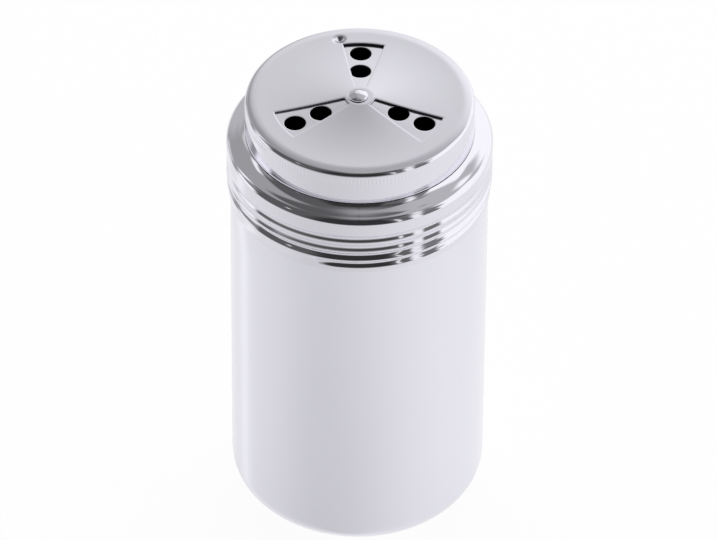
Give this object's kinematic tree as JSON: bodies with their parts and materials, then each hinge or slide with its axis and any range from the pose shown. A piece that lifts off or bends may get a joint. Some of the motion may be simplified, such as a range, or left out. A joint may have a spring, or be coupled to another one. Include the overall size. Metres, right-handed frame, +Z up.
{
  "type": "sugar dredger",
  "caption": "Round steel shaker with a screw-on threaded lid and a low turning dial on top, whose wedge windows uncover or shut the pouring holes.",
  "frame": {"origin": "centre of the base, on the plane that the cup stands on", "axes": "+Z up along the axis of the cup, the lid and the dial; -Y is the front, the side nearest to the camera"},
  "size_m": [0.0678, 0.0678, 0.128],
  "materials": {
    "satin_steel": "finely brushed stainless steel, soft satin",
    "polished_steel": "mirror-polished stainless steel",
    "spring_steel": "plain spring steel"
  },
  "bodies": {
    "cup": {"cup": "satin_steel"},
    "rivet": {"centre_rivet": "polished_steel", "backing_washer": "spring_steel"},
    "lid": {"screw_lid": "polished_steel", "spring_washer": "spring_steel"},
    "dial": {"dial_cap": "satin_steel"}
  },
  "joints": [
    {"name": "lid_rise", "type": "slide", "parent": "cup", "child": "rivet", "axis": [0, 0, 1], "range_m": [0, 0.01741]},
    {"name": "lid_unscrew", "type": "hinge", "parent": "rivet", "child": "lid", "pos_m": [0, 0, 0.1], "axis": [0, 0, 1], "range_deg": [0, 2160]},
    {"name": "dial_turn", "type": "hinge", "parent": "lid", "child": "dial", "pos_m": [0, 0, 0.127], "axis": [0, 0, 1], "range_deg": [0, 60]}
  ],
  "couplings": [
    {"joint": "lid_rise", "follows": "lid_unscrew", "m_per_rad": 0.00046155}
  ]
}
